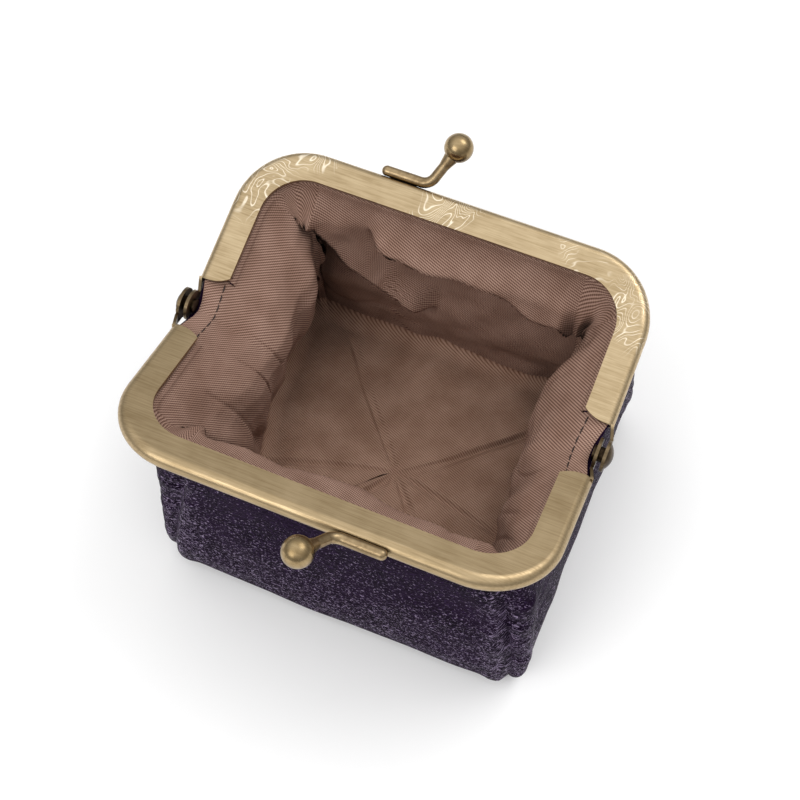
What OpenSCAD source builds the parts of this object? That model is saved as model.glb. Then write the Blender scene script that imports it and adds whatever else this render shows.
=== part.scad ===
/* [Frame halves] */
// Width of the frame across its two arms
frame_w = 97.6; // [88:0.2:108]
// Distance from the hinge axis to the outer edge of the bar
frame_reach = 43; // [39:0.2:48]
// Width of the flat face that meets the other half
face_w = 7; // [6.5:0.1:8]
// Outer corner radius of the frame in plan
corner_r = 16.5; // [15:0.5:18]
// Inner corner radius of the flat face in plan
inner_corner_r = 10; // [8:0.5:11.5]
// Thickness of the brass sheet
sheet_t = 0.7; // [0.5:0.05:0.8]
// Overall thickness of one frame half
rim_h = 3.1; // [3.1:0.1:3.8]
// Radius of the rounded edge between face and rim
edge_r = 2; // [1.6:0.1:2.2]
// Radius of the lower edge of the rim
lower_r = 0.95; // [0.9:0.05:1.1]
// Width of the back flange that holds the leather
flange_w = 6; // [5:0.1:6.5]
// Radius of the rounded end of each face, near the hinge
face_end_r = 8; // [7:0.5:9]
// Distance from the hinge axis to the end of the rim
arm_end = 6.7; // [6:0.1:8]
// Tilt of each open half above level, in degrees
open_tilt = 17; // [12:1:20]
// Gap between the two faces when the frame is closed
face_gap = 0.3; // [0.2:0.05:0.6]

/* [Hinge] */
// Diameter of the round hinge ears
ear_d = 7; // [6:0.1:8]
// Distance between the two ears of a hinge, centre to centre
ear_pitch = 1.8; // [1.6:0.1:2.2]
// Height of the strap between rim and ear
strap_h = 2.4; // [2:0.1:2.6]
// Diameter of the rivet shank
rivet_d = 2; // [1.6:0.1:2.4]
// Radial clearance of the rivet in the ears
rivet_clear = 0.05; // [0.02:0.01:0.08]
// Diameter of the domed rivet head on the outside
head_d = 5.8; // [5:0.1:6.4]
// Height of the domed rivet head
head_h = 1.2; // [1:0.1:1.5]
// Diameter of the hammered rivet tail on the inside
tail_d = 3.2; // [2.8:0.1:3.6]
// Height of the hammered rivet tail
tail_h = 0.6; // [0.4:0.05:0.8]
// Diameter of the rivet shoulder that keeps the two ears apart
shoulder_d = 3.4; // [2.8:0.1:4.4]
// Play between neighbouring parts along the rivet
side_play = 0.05; // [0.03:0.01:0.1]

/* [Clasp] */
// Diameter of the clasp rod
rod_d = 2.4; // [2:0.1:2.8]
// Length of the rod that lies along the bar, up to the bend
rod_len = 8.1; // [7:0.1:11]
// Inside radius of the bend in the rod
bend_r = 1.8; // [1.4:0.1:2.4]
// Diameter of the clasp ball
ball_d = 6.6; // [5.6:0.1:7]
// Distance from the edge of the bar to the centre of the ball
ball_reach = 10.3; // [9:0.1:12]
// Height of the ball centre above the plane of the faces
ball_lift = 2; // [1:0.1:2.4]
// Room between the two balls as they pass, beside their diameter
ball_pass = 0.2; // [0.1:0.05:0.6]
// Distance along the bar from the bend to the centre of the ball
ball_lead = 3.8; // [3.5:0.1:5]
// Distance that the pair of clasps sits to the left of the middle
clasp_shift = 0.9; // [0:0.1:2]
// Depth of the rod centre line below the faces
rod_drop = 1.35; // [1.2:0.05:1.6]
// Length of the solder between rod and rim
solder_len = 5; // [3:0.5:7]
// Diameter of the neck that carries the ball
neck_d = 3.4; // [3:0.1:3.8]
// Length of the tapered neck
neck_len = 2.4; // [1.8:0.1:3]

/* [Leather bag] */
// Height of the hinge axis above the surface it stands on
hinge_z = 50; // [44:1:58]
// Width of the bag at its widest, near the base
bag_w = 92; // [88:1:98]
// Depth of the bag from front to rear, near the base
bag_d = 81; // [77:1:86]
// Radius where the walls turn into the base
base_r = 6; // [4:0.5:6.5]
// Radius of the upright corners
bag_corner_r = 9.5; // [8:0.5:10.5]
// Thickness of the padded leather
leather_t = 1.2; // [0.9:0.1:1.4]
// Outward crown of the front and rear walls at mid-height
wall_crown = 0.8; // [0:0.1:1.5]
// Room between the bag and the moving frame halves
bag_clear = 0.3; // [0.25:0.05:0.5]
// Half length of the free edge between the two arms of a side
free_edge = 6.2; // [5:0.1:6.5]
// Distance that the free edge flares outwards
free_flare = 3; // [1:0.1:3.2]
// Distance that the free edge stands above the end of the walls
free_rise = 2.6; // [1:0.1:2.8]
// Distance that the filled bag sags to the right at its base
bag_lean = 3; // [0:0.5:3]

/* [Lining] */
// Thickness of the twill lining
lining_t = 0.45; // [0.3:0.05:0.6]
// Air between leather and lining
lining_gap = 0.35; // [0.3:0.05:0.6]
// Distance that the side linings billow into the bag, before the sag of the bag
side_billow = 12.5; // [4:0.5:13]
// Distance that the front and rear linings billow into the bag
wall_billow = 9; // [2:0.5:9.5]
// Thickness of the sewing thread along the free edges
thread_d = 0.4; // [0.3:0.05:0.5]

/* [Edges held in the frame] */
// Clearance between the held edges and the brass
edge_clear = 0.08; // [0.05:0.01:0.12]
// Thickness of the pared leather edge in the channel
pared_t = 0.75; // [0.6:0.05:0.85]
// Diameter of the paper cord that packs the channel
cord_d = 1.1; // [0.9:0.05:1.2]

/* [Hidden] */
$fn = 64;

brass = "#a48f66";
solder_grey = "#93835f";
dark = "#241d18";
leather = "#3d2a4a";
twill = "#8c6e62";
paper = "#b59a72";
thread = "#3a2a26";

// Frame: u runs along the bar, v away from the hinge axis, w up from the plane of the faces
half_w = frame_w / 2;
face_w0 = -face_gap / 2;
back_w0 = face_w0 - rim_h;
corner_u = half_w - corner_r;
corner_v = frame_reach - corner_r;
face_end_u = half_w - edge_r;
face_end_v = arm_end + face_end_r;
slot_w0 = back_w0 + sheet_t;

// Held edges: leather on the back flange, lining on the leather, cord against the rim
cord_off = sheet_t + edge_clear + cord_d / 2;
held_off = cord_off + cord_d / 2 + edge_clear;
lip_off = flange_w + edge_clear;
held_start = arm_end + 3;

// Hinge: the straps set one ear outside and one inside the line of the rim
rim_mid = half_w - sheet_t / 2;
ear_gap = ear_pitch - sheet_t;
outer_ear = rim_mid + ear_pitch / 2;
inner_ear = rim_mid - ear_pitch / 2;
strap_end = ear_d / 2 + 0.4;
dome_r = (pow(head_d / 2, 2) + pow(head_h, 2)) / (2 * head_h);

// Clasp: the rod lies against the rounded edge, bends by rod_turn and carries the ball
rod_r = rod_d / 2;
seat_gap = 0.05;
edge_cw = face_w0 - edge_r;
rod_w = -rod_drop;
rod_v = frame_reach - edge_r + sqrt(pow(edge_r + rod_r + seat_gap, 2) - pow(rod_w - edge_cw, 2));
rise_v = frame_reach + ball_reach - rod_v;
rise_w = ball_lift - rod_w;
rise = sqrt(rise_v * rise_v + rise_w * rise_w);
clasp_tip = atan2(rise_w, rise_v);
rod_turn = atan2(rise, ball_lead);
turn_r = bend_r + rod_r;
turn_cut = turn_r * tan(rod_turn / 2);
stem_len = sqrt(rise * rise + ball_lead * ball_lead) - turn_cut;
ball_u = -(ball_d + ball_pass) / 2;
bend_u = ball_u - ball_lead;
bend_swell = 0.04;
bend_lap = 0.15;
socket_depth = 0.75;
socket_clear = 0.04;
ball_seat = sqrt(pow(ball_d / 2, 2) - pow(neck_d / 2, 2)) - socket_depth;

// Bag: half sizes at the base bulge and where the walls meet the frame
base_x = bag_w / 2;
base_y = bag_d / 2;
top_x = half_w - flange_w - edge_clear;
top_v = frame_reach - flange_w - edge_clear;
top_drop = rim_h + face_gap / 2 + bag_clear;
top_y = top_v * cos(open_tilt) + top_drop * sin(open_tilt);
line_o = leather_t + lining_gap;

// Numbers of facets along and up the soft walls
wall_rows = 8;
turn_rows = 4;
strip_cols = 12;
corner_cols = 4;
side_cols = 16;
stitch_cols = [4, 6, 7, 8, 9, 11];

function mix(a, b, f) = a + (b - a) * f;
function settle(f) = pow(f, 2.4);

// Height of the upper edge of a wall at the distance y from the hinge line
function wall_top(y) = hinge_z - top_drop / cos(open_tilt) + abs(y) * tan(open_tilt);

// Rows of a wall: below 0 the turn into the base, from 0 to 1 the wall itself
function row_angle(row) = 90 * (row + turn_rows) / turn_rows;
function half_x(row, o) = row < 0
    ? base_x - o - (base_r - o) * (1 - sin(row_angle(row)))
    : mix(base_x, top_x, settle(row / wall_rows)) - o;
function half_y(row, o) = row < 0
    ? base_y - o - (base_r - o) * (1 - sin(row_angle(row)))
    : mix(base_y, top_y, settle(row / wall_rows)) - o;
function corner_of(row, o) = max(0.4, row < 0
    ? bag_corner_r - o - (base_r - o) * (1 - sin(row_angle(row)))
    : bag_corner_r - o);
function row_z(row, y, o) = row < 0
    ? base_r - (base_r - o) * cos(row_angle(row))
    : mix(base_r, wall_top(y), row / wall_rows);
function seam_x(row, o) = half_x(row, o) - corner_of(row, o);

// Sideways sag: full at the base, none at the frame
function lean(row) = bag_lean * (1 - settle(max(0, row) / wall_rows));

// Inward swell of the lining: none at the base and at the frame, most where row / wall_rows
// to the power high is one half; a low sharp makes it full and a high one makes it slender
function swell(row, most, high, sharp) =
    row <= 0 ? 0 : most * pow(sin(180 * pow(row / wall_rows, high)), sharp);

// Point of an end wall, from the left seam at p = -1 to the right seam at p = 1
function end_point(row, p, o, most, high) =
    let (
        lift = row <= 0 ? 0 : sin(180 * row / wall_rows),
        edge = 1 - pow(abs(p), 4),
        y = half_y(row, o) + wall_crown * lift * edge - swell(row, most, high, 1) * edge
    )
    [p * seam_x(row, o) + lean(row), -y, row_z(row, half_y(wall_rows, o), o)];

function flip_y(q) = [q[0], -q[1], q[2]];

// Point of the base, between the two turns
function base_point(y, p, o) = [p * half_x(-turn_rows, o) + bag_lean, y, o];

// One strip: down the front wall, under the base and up the rear wall
base_half = base_y - bag_corner_r;
function strip_point(k, p, o, most) =
    let (wall = wall_rows + turn_rows)
    k <= wall ? end_point(wall_rows - k, p, o, most, 2.8)
    : k <= wall + 3 ? base_point((k - wall - 2) * base_half, p, o)
    : flip_y(end_point(k - wall - 4 - turn_rows, p, o, rear_share * most, 1.7));
rear_share = 0.65;
strip_last = 2 * (wall_rows + turn_rows) + 4;
function strip_grid(o, most) = [
    for (k = [0 : strip_last]) [
        for (j = [0 : strip_cols]) strip_point(k, 2 * j / strip_cols - 1, o, most)
    ]
];

// Positions along a side lie closer together near the hinge
function spread(f) = (0.35 * (2 * f - 1) + 0.65 * pow(2 * f - 1, 3) + 1) / 2;

// Point of a side: round one corner, along the side, round the other corner
function side_point(side, row, c, o, most) =
    let (
        n = corner_cols,
        r = corner_of(row, o),
        x0 = half_x(row, o) - r,
        y0 = half_y(row, o) - r,
        top_half = top_y - bag_corner_r,
        rear = c > n + side_cols,
        flat = c >= n && !rear,
        end = rear ? 1 : -1,
        turn = c < n ? 90 * c / n - 90 : 90 * (c - n - side_cols) / n,
        along = spread((c - n) / side_cols),
        y = flat ? mix(-y0, y0, along) : end * y0 + r * sin(turn),
        y_top = flat ? mix(-top_half, top_half, along)
                     : end * top_half + corner_of(wall_rows, o) * sin(turn),
        full = most + side * bag_lean * min(1, most) * 0.7,
        hollow = flat ? swell(row, full, 0.75, 0.8) * pow(sin(180 * along), 0.6) : 0,
        near = max(0, 1 - pow(y_top / free_edge, 2)),
        up = row <= 0 ? 0 : pow(row / wall_rows, 3) * near,
        x = x0 + (flat ? r : r * cos(turn)) - hollow + free_flare * up
    )
    [side * x + lean(row), y, row_z(row, y_top, o) + free_rise * up];

side_last = 2 * corner_cols + side_cols;
function side_grid(side, o, most) = [
    for (k = [0 : wall_rows + turn_rows]) [
        for (j = [0 : side_last])
            side_point(side, wall_rows - k, side > 0 ? j : side_last - j, o, most)
    ]
];

// A sheet between two grids of points, rows by columns, closed round its edges
module sheet(outer, inner) {
    rows = len(outer);
    cols = len(outer[0]);
    n = rows * cols;
    quads = [
        for (i = [0 : rows - 2])
            for (j = [0 : cols - 2])
                let (a = i * cols + j)
                [a, a + cols, a + cols + 1, a + 1]
    ];
    rim = concat(
        [for (j = [0 : cols - 1]) j],
        [for (i = [1 : rows - 1]) i * cols + cols - 1],
        [for (j = [cols - 2 : -1 : 0]) (rows - 1) * cols + j],
        [for (i = [rows - 2 : -1 : 1]) i * cols]
    );
    m = len(rim);
    faces = concat(
        [for (q = quads) [q[2], q[1], q[0]]],
        [for (q = quads) [q[3], q[2], q[0]]],
        [for (q = quads) [q[0] + n, q[1] + n, q[2] + n]],
        [for (q = quads) [q[0] + n, q[2] + n, q[3] + n]],
        [for (k = [0 : m - 1]) [rim[(k + 1) % m], rim[k], rim[k] + n]],
        [for (k = [0 : m - 1]) [rim[(k + 1) % m], rim[k] + n, rim[(k + 1) % m] + n]]
    );
    points = concat([for (row = outer) for (q = row) q], [for (row = inner) for (q = row) q]);
    polyhedron(points = points, faces = faces);
}

// Leather bag and its lining

module leather_body() {
    color(leather)
        sheet(strip_grid(0, 0), strip_grid(leather_t, 0));
}

module leather_side(side) {
    color(leather)
        sheet(side_grid(side, 0, 0), side_grid(side, leather_t, 0));
}

module left_gusset() {
    leather_side(-1);
}

module right_gusset() {
    leather_side(1);
}

module lining_body() {
    color(twill)
        sheet(strip_grid(line_o, wall_billow), strip_grid(line_o + lining_t, wall_billow));
}

module lining_side(side) {
    color(twill)
        sheet(side_grid(side, line_o, side_billow), side_grid(side, line_o + lining_t, side_billow));
}

module left_lining() {
    lining_side(-1);
}

module right_lining() {
    lining_side(1);
}

// A straight rod with rounded ends from a to b
module rod(a, b, d) {
    run = b - a;
    length = norm(run);
    translate(a)
        rotate([0, acos(run[2] / length), atan2(run[1], run[0])]) {
            cylinder(d = d, h = length);
            sphere(d = d);
            translate([0, 0, length])
                sphere(d = d);
        }
}

// Thread that holds leather and lining together, below the free edge of a side
module topstitch(side) {
    o = line_o + lining_t + thread_d / 2 + 0.05;
    color(thread)
        for (c = stitch_cols) {
            a = side_point(side, wall_rows - 1, corner_cols + c, o, side_billow);
            b = side_point(side, wall_rows - 1, corner_cols + c + 0.6, o, side_billow);
            rod(a, b, thread_d);
        }
}

module left_topstitch() {
    topstitch(-1);
}

module right_topstitch() {
    topstitch(1);
}

// Rivets on the hinge axis

// Shouldered rivet along +Z: dome, shank, shoulder between the ears, hammered tail
module rivet() {
    ear_out = ear_pitch / 2 + sheet_t / 2;
    color(dark)
        rotate_extrude() {
            translate([0, -ear_out - side_play - tail_h])
                square([tail_d / 2, tail_h]);
            translate([0, -ear_out - side_play])
                square([rivet_d / 2, 2 * (ear_out + side_play)]);
            translate([0, -ear_gap / 2 + side_play])
                square([shoulder_d / 2, ear_gap - 2 * side_play]);
            intersection() {
                translate([0, ear_out + side_play + head_h - dome_r])
                    circle(r = dome_r);
                translate([0, ear_out + side_play])
                    square([head_d / 2, head_h]);
            }
        }
}

module right_rivet() {
    translate([rim_mid, 0, hinge_z])
        rotate([0, 90, 0])
            rivet();
}

module left_rivet() {
    rotate([0, 0, 180])
        right_rivet();
}

// One stamped frame half, in its own u, v, w directions

// Outline of the frame at the distance d inside its outer edge
module outline(d) {
    r = corner_r - d;
    w = half_w - d;
    reach = frame_reach - d;
    translate([-w, 0])
        square([2 * w, reach - r]);
    translate([r - w, 0])
        square([2 * (w - r), reach]);
    for (u = [r - w, w - r])
        translate([u, reach - r])
            circle(r = r);
}

// Band between two distances from the outer edge, from v = start to the bar
module band(near, far, start, thick) {
    linear_extrude(thick)
        intersection() {
            difference() {
                outline(near);
                outline(far);
            }
            translate([-half_w, start])
                square([frame_w, frame_reach]);
        }
}

// Rounded sheet seen along the rim: flat face on top, rim, back flange below
module rim_section(inset, near) {
    r_top = edge_r - inset;
    r_low = lower_r - inset;
    top = face_w0 - inset;
    low = back_w0 + inset;
    edge = corner_r - inset;
    flat_to = corner_r - edge_r;
    low_to = corner_r - lower_r;
    translate([near, low])
        square([flat_to - near, top - low]);
    translate([flat_to, low + r_low])
        square([edge - flat_to, top - r_top - low - r_low]);
    translate([flat_to, low])
        square([low_to - flat_to, r_low]);
    translate([flat_to, top - r_top])
        circle(r = r_top);
    translate([low_to, low + r_low])
        circle(r = r_low);
}

module channel_section() {
    near = corner_r - flange_w;
    difference() {
        rim_section(0, near);
        rim_section(sheet_t, near - 1);
    }
}

// Straight run of the channel: starts at v = 0, follows +v, rim on the +u side
module channel_arm(length) {
    translate([0, length, 0])
        rotate([90, 0, 0])
            linear_extrude(length)
                channel_section();
}

module channel_rim() {
    for (m = [0, 1])
        mirror([m, 0, 0]) {
            intersection() {
                translate([corner_u, arm_end, 0])
                    channel_arm(corner_v - arm_end);
                translate([0, 0, back_w0 - 1])
                    linear_extrude(rim_h + 2)
                        face_keep();
            }
            translate([corner_u, corner_v, 0])
                rotate_extrude(angle = 90)
                    channel_section();
        }
    translate([corner_u, corner_v, 0])
        rotate([0, 0, 90])
            channel_arm(2 * corner_u);
}

// Plan of what remains of an arm: rounded tongue beside the straight end of the rim
module face_keep() {
    translate([0, face_end_v])
        square([half_w, frame_reach]);
    translate([face_end_u, arm_end])
        square([edge_r, face_end_r]);
    translate([face_end_u, face_end_v])
        circle(r = face_end_r);
}

// Inner outline of the flat face, with its own smaller corner radius
module face_inner() {
    w = half_w - face_w;
    reach = frame_reach - face_w;
    r = inner_corner_r;
    translate([-w, -1])
        square([2 * w, reach - r + 1]);
    translate([r - w, -1])
        square([2 * (w - r), reach + 1]);
    for (u = [r - w, w - r])
        translate([u, reach - r])
            circle(r = r);
}

module face_plate() {
    translate([0, 0, face_w0 - sheet_t])
        linear_extrude(sheet_t)
            intersection() {
                difference() {
                    outline(edge_r);
                    face_inner();
                }
                union() {
                    face_keep();
                    mirror([1, 0])
                        face_keep();
                }
            }
}

// Strap from the end of the rim to the plane of an ear, seen from above
module ear_strap(ear_u) {
    shift = ear_u - rim_mid;
    t = sheet_t / 2;
    translate([rim_mid, 0, face_w0 - 0.5 - strap_h])
        linear_extrude(strap_h)
            polygon([
                [-t, arm_end + 0.3],
                [t, arm_end + 0.3],
                [t, arm_end],
                [shift + t, strap_end],
                [shift + t, ear_d / 4],
                [shift - t, ear_d / 4],
                [shift - t, strap_end],
                [-t, arm_end]
            ]);
}

module ear(ear_u) {
    difference() {
        union() {
            translate([ear_u - sheet_t / 2, 0, 0])
                rotate([0, 90, 0])
                    cylinder(d = ear_d, h = sheet_t);
            ear_strap(ear_u);
        }
        translate([ear_u - sheet_t, 0, 0])
            rotate([0, 90, 0])
                cylinder(d = rivet_d + 2 * rivet_clear, h = 2 * sheet_t);
    }
}

module channel() {
    color(brass) {
        channel_rim();
        face_plate();
        ear(outer_ear);
        mirror([1, 0, 0])
            ear(inner_ear);
    }
}

module leather_edge() {
    color(leather) {
        translate([0, 0, slot_w0 + edge_clear])
            band(held_off, lip_off + leather_t, held_start, pared_t);
        translate([0, 0, back_w0])
            band(lip_off, lip_off + leather_t, held_start, sheet_t + 2 * edge_clear);
    }
}

module lining_edge() {
    lip = lip_off + leather_t + edge_clear;
    low = slot_w0 + 2 * edge_clear + pared_t;
    color(twill) {
        translate([0, 0, low])
            band(held_off, lip + lining_t, held_start, lining_t);
        translate([0, 0, back_w0])
            band(lip, lip + lining_t, held_start, low - back_w0 + lining_t / 2);
    }
}

module packing_cord() {
    path_r = corner_r - cord_off;
    cord_w = slot_w0 + edge_clear + cord_d / 2;
    color(paper)
        translate([0, 0, cord_w]) {
            for (m = [0, 1])
                mirror([m, 0, 0]) {
                    translate([half_w - cord_off, corner_v, 0])
                        rotate([90, 0, 0])
                            cylinder(d = cord_d, h = corner_v - held_start);
                    translate([corner_u, corner_v, 0])
                        rotate_extrude(angle = 90)
                            translate([path_r, 0])
                                circle(d = cord_d);
                }
            translate([-corner_u, frame_reach - cord_off, 0])
                rotate([0, 90, 0])
                    cylinder(d = cord_d, h = 2 * corner_u);
        }
}

// Clasp: rod along the bar, bend, tapered neck and ball

// Places the corner of the rod's centre line, with its own second direction towards the ball
module at_bend(shift) {
    translate([bend_u + shift, rod_v, rod_w])
        rotate([clasp_tip, 0, 0])
            children();
}

// Places a point of the stem at a distance before the ball centre, +Z towards the ball
module on_stem(before) {
    rotate([0, 0, rod_turn])
        translate([stem_len + turn_cut - before, 0, 0])
            rotate([0, 90, 0])
                children();
}

module clasp_rod(shift) {
    color(brass)
        at_bend(shift) {
            translate([-turn_cut - rod_len, 0, 0]) {
                rotate([0, 90, 0])
                    cylinder(d = rod_d, h = rod_len + bend_lap);
                sphere(d = rod_d);
            }
            translate([-turn_cut, turn_r, 0])
                rotate([0, 0, -90])
                    rotate_extrude(angle = rod_turn)
                        translate([turn_r, 0])
                            circle(d = rod_d + bend_swell);
            on_stem(stem_len + bend_lap)
                cylinder(d = rod_d, h = stem_len + bend_lap - ball_seat);
            on_stem(ball_seat + socket_depth + neck_len)
                cylinder(d1 = rod_d, d2 = neck_d, h = neck_len);
            on_stem(ball_seat + socket_depth + 0.02)
                cylinder(d = neck_d, h = socket_depth);
        }
}

module clasp_ball(shift) {
    color(brass)
        at_bend(shift)
            difference() {
                on_stem(0)
                    sphere(d = ball_d);
                on_stem(ball_seat + 2 * socket_depth)
                    cylinder(d = neck_d + 2 * socket_clear, h = 2 * socket_depth);
            }
}

// Bead of solder in the groove below the rod
module clasp_solder(shift) {
    bead_r = 0.85;
    start = bend_u + shift - turn_cut - rod_len / 2 - solder_len / 2;
    color(solder_grey)
        difference() {
            translate([start, frame_reach + 0.55, rod_w - rod_r])
                rotate([0, 90, 0]) {
                    cylinder(r = bead_r, h = solder_len);
                    sphere(r = bead_r);
                    translate([0, 0, solder_len])
                        sphere(r = bead_r);
                }
            translate([start - 2, rod_v, rod_w])
                rotate([0, 90, 0])
                    cylinder(r = rod_r + 0.02, h = solder_len + 4);
            translate([start - 2, frame_reach - 4, back_w0 - 1])
                cube([solder_len + 4, 4.02, rim_h + 2]);
        }
}

// Both halves are the same stamping: the front one is turned round and tilted forwards

module rear_half() {
    translate([0, 0, hinge_z])
        rotate([open_tilt, 0, 0])
            children();
}

module front_half() {
    translate([0, 0, hinge_z])
        rotate([-open_tilt, 0, 0])
            rotate([0, 0, 180])
                children();
}

module front_channel() {
    front_half()
        channel();
}

module front_leather_edge() {
    front_half()
        leather_edge();
}

module front_lining_edge() {
    front_half()
        lining_edge();
}

module front_packing_cord() {
    front_half()
        packing_cord();
}

module front_clasp_rod() {
    front_half()
        clasp_rod(clasp_shift);
}

module front_clasp_ball() {
    front_half()
        clasp_ball(clasp_shift);
}

module front_clasp_solder() {
    front_half()
        clasp_solder(clasp_shift);
}

module rear_channel() {
    rear_half()
        channel();
}

module rear_leather_edge() {
    rear_half()
        leather_edge();
}

module rear_lining_edge() {
    rear_half()
        lining_edge();
}

module rear_packing_cord() {
    rear_half()
        packing_cord();
}

module rear_clasp_rod() {
    rear_half()
        clasp_rod(-clasp_shift);
}

module rear_clasp_ball() {
    rear_half()
        clasp_ball(-clasp_shift);
}

module rear_clasp_solder() {
    rear_half()
        clasp_solder(-clasp_shift);
}

leather_body();
left_gusset();
right_gusset();
lining_body();
left_lining();
right_lining();
left_topstitch();
right_topstitch();
left_rivet();
right_rivet();
front_channel();
front_clasp_rod();
front_clasp_ball();
front_clasp_solder();
front_leather_edge();
front_lining_edge();
front_packing_cord();
rear_channel();
rear_clasp_rod();
rear_clasp_ball();
rear_clasp_solder();
rear_leather_edge();
rear_lining_edge();
rear_packing_cord();
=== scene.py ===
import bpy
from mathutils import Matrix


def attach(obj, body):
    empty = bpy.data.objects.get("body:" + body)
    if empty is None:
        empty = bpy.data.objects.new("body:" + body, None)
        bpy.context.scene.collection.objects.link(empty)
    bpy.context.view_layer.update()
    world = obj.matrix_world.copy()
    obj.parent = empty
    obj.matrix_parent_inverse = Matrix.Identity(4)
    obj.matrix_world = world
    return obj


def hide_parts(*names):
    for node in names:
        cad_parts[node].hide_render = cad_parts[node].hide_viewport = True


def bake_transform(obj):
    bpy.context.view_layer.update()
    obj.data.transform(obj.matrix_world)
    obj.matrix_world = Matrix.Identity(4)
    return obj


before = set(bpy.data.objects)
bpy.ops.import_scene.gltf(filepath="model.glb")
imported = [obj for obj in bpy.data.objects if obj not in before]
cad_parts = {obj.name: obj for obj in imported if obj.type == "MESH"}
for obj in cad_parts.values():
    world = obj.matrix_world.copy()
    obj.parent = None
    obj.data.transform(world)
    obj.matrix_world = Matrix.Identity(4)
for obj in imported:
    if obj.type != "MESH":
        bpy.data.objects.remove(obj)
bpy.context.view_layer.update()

import math

import bpy
import numpy as np
from mathutils import Vector

# Leather bag. One strip of goat leather with a crackled metallic finish makes the front, base and
# rear; a gusset on each side wraps a little onto front and rear. Sewn inside out and turned, so
# the seams sit in deep grooves with small puckers, and the base edge is a soft roll.

# Sizes are in millimetres until a mesh is made. Frame at rest: hinge line, tilt of each half, and
# its opening, from the hinge line (v) and from the middle (x), with the radius of its corners
MM = 0.001
HINGE_Z = 50.0
OPEN_TILT = math.radians(17)
SLOPE = math.tan(OPEN_TILT)
MOUTH_X = 42.8
MOUTH_V = 37.0
MOUTH_R = 10.5
FLANGE_DROP = 3.6
# Bag: roll along the base, places along a side, and the seams' distance from the middle by height
ROLL_R = 6.0
BAR_Y = 36.2
ARM_START_Y = 8.4
CORNER_TOP_Y = 29.0
CORNER_LOW_Y = 33.5
HALF_SIDE = 34.0
HALF_FRONT = 44.0
SEAM_Z = [0, 4, 14, 25, 32, 40, 47, 58]
SEAM_LEFT = [39.4, 39.0, 37.6, 36.0, 34.6, 33.0, 32.4, 32.0]
SEAM_RIGHT = [45.0, 45.1, 45.3, 43.8, 42.3, 41.0, 40.0, 38.6]
# Distance of a gusset, and of the front or rear wall, by height: 0 on the roll, 1 at the frame
GUSSET_RIGHT = [0, 0.2, 0.5, 0.7, 0.85, 1, 1.3], [47.8, 48.2, 47.2, 45.8, 44.0, 42.6, 42.6]
GUSSET_LEFT = [0, 0.2, 0.5, 0.8, 1, 1.3], [41.6, 41.5, 41.2, 40.9, 42.6, 42.6]
WALL = [0, 0.1, 0.4, 0.8, 1, 1.2], [40.3, 40.5, 39.2, 37.3, 36.4, BAR_Y]
LEATHER_THICK = 0.9
LEATHER_IN_SLOT = 2.6
# How finely the surfaces are divided
ROWS, SLOT_ROWS, FLANGE_ROWS, ROLL_ROWS, BASE_RINGS = 72, 4, 10, 9, 14
PANEL_COLS, WRAP_COLS = 112, 20
ENDS = ((-1, "front"), (1, "rear"))
SIDES = ((-1, "left"), (1, "right"))


def ease(a, b, x):
    """From 0 at a to 1 at b, with soft ends."""
    t = np.clip((x - a) / (b - a), 0, 1)
    return t * t * (3 - 2 * t)


def bell(distance, width):
    """1 in the middle, falling away over the width."""
    return np.exp(-((distance / width) ** 2))


def drift(a, b, size, seed):
    """Smooth unevenness between -1 and 1, with features of about size."""
    table = np.random.default_rng(seed).uniform(-1, 1, (64, 64))
    a, b = np.asarray(a, float) / size + 17.3, np.asarray(b, float) / size + 5.9
    a, b = np.broadcast_arrays(a, b)
    i, j = np.floor(a).astype(int), np.floor(b).astype(int)
    u, v = a - i, b - j
    u, v = u * u * (3 - 2 * u), v * v * (3 - 2 * v)

    def corner(di, dj):
        return table[(i + di) % 64, (j + dj) % 64]

    low = corner(0, 0) * (1 - u) + corner(1, 0) * u
    high = corner(0, 1) * (1 - u) + corner(1, 1) * u
    return low * (1 - v) + high * v


def under_flange(y):
    """Height where the bag meets the underside of the frame halves."""
    return HINGE_Z - FLANGE_DROP + SLOPE * np.abs(y)


def in_slot(y, depth):
    """Height inside the channel, depth below the plane of its faces."""
    return HINGE_Z - depth / math.cos(OPEN_TILT) + SLOPE * np.abs(y)


def corner_y(z):
    """The line down each side, from the corner of the frame to the corner of the base."""
    down = np.clip((z - ROLL_R) / (under_flange(CORNER_TOP_Y) - ROLL_R), 0, 1.2)
    return CORNER_LOW_Y + (CORNER_TOP_Y - CORNER_LOW_Y) * down


def mouth_round(across, straight):
    """How far the rounded corner of the frame's opening lies inside its straight edge."""
    over = np.clip(across - straight, 0, MOUTH_R)
    return MOUTH_R - np.sqrt(MOUTH_R**2 - over**2)


def round_mouth(q, x_seam):
    """Shares of the way across and along, from a seam (q = 0) round the mouth's corner."""
    a0 = np.arcsin(np.clip((np.abs(x_seam) - MOUTH_X + MOUTH_R) / MOUTH_R, 0, 0.8))
    a1 = math.radians(75)
    a = a0 + (a1 - a0) * q
    across = (np.sin(a) - np.sin(a0)) / (np.sin(a1) - np.sin(a0))
    along = (np.cos(a) - np.cos(a1)) / (np.cos(a0) - np.cos(a1))
    return across, along


def ripple(across, z, size, seed):
    """Short uneven puckers that lie across a seam."""
    uneven = 0.65 + 0.5 * drift(across * 0.5, z, 5.0, seed + 1)
    return drift(across * 0.22, z, size, seed) * uneven


def seam_x(side, z):
    left, right = np.interp(z, SEAM_Z, SEAM_LEFT), np.interp(z, SEAM_Z, SEAM_RIGHT)
    return side * np.where(np.asarray(side) > 0, right, left)


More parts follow.
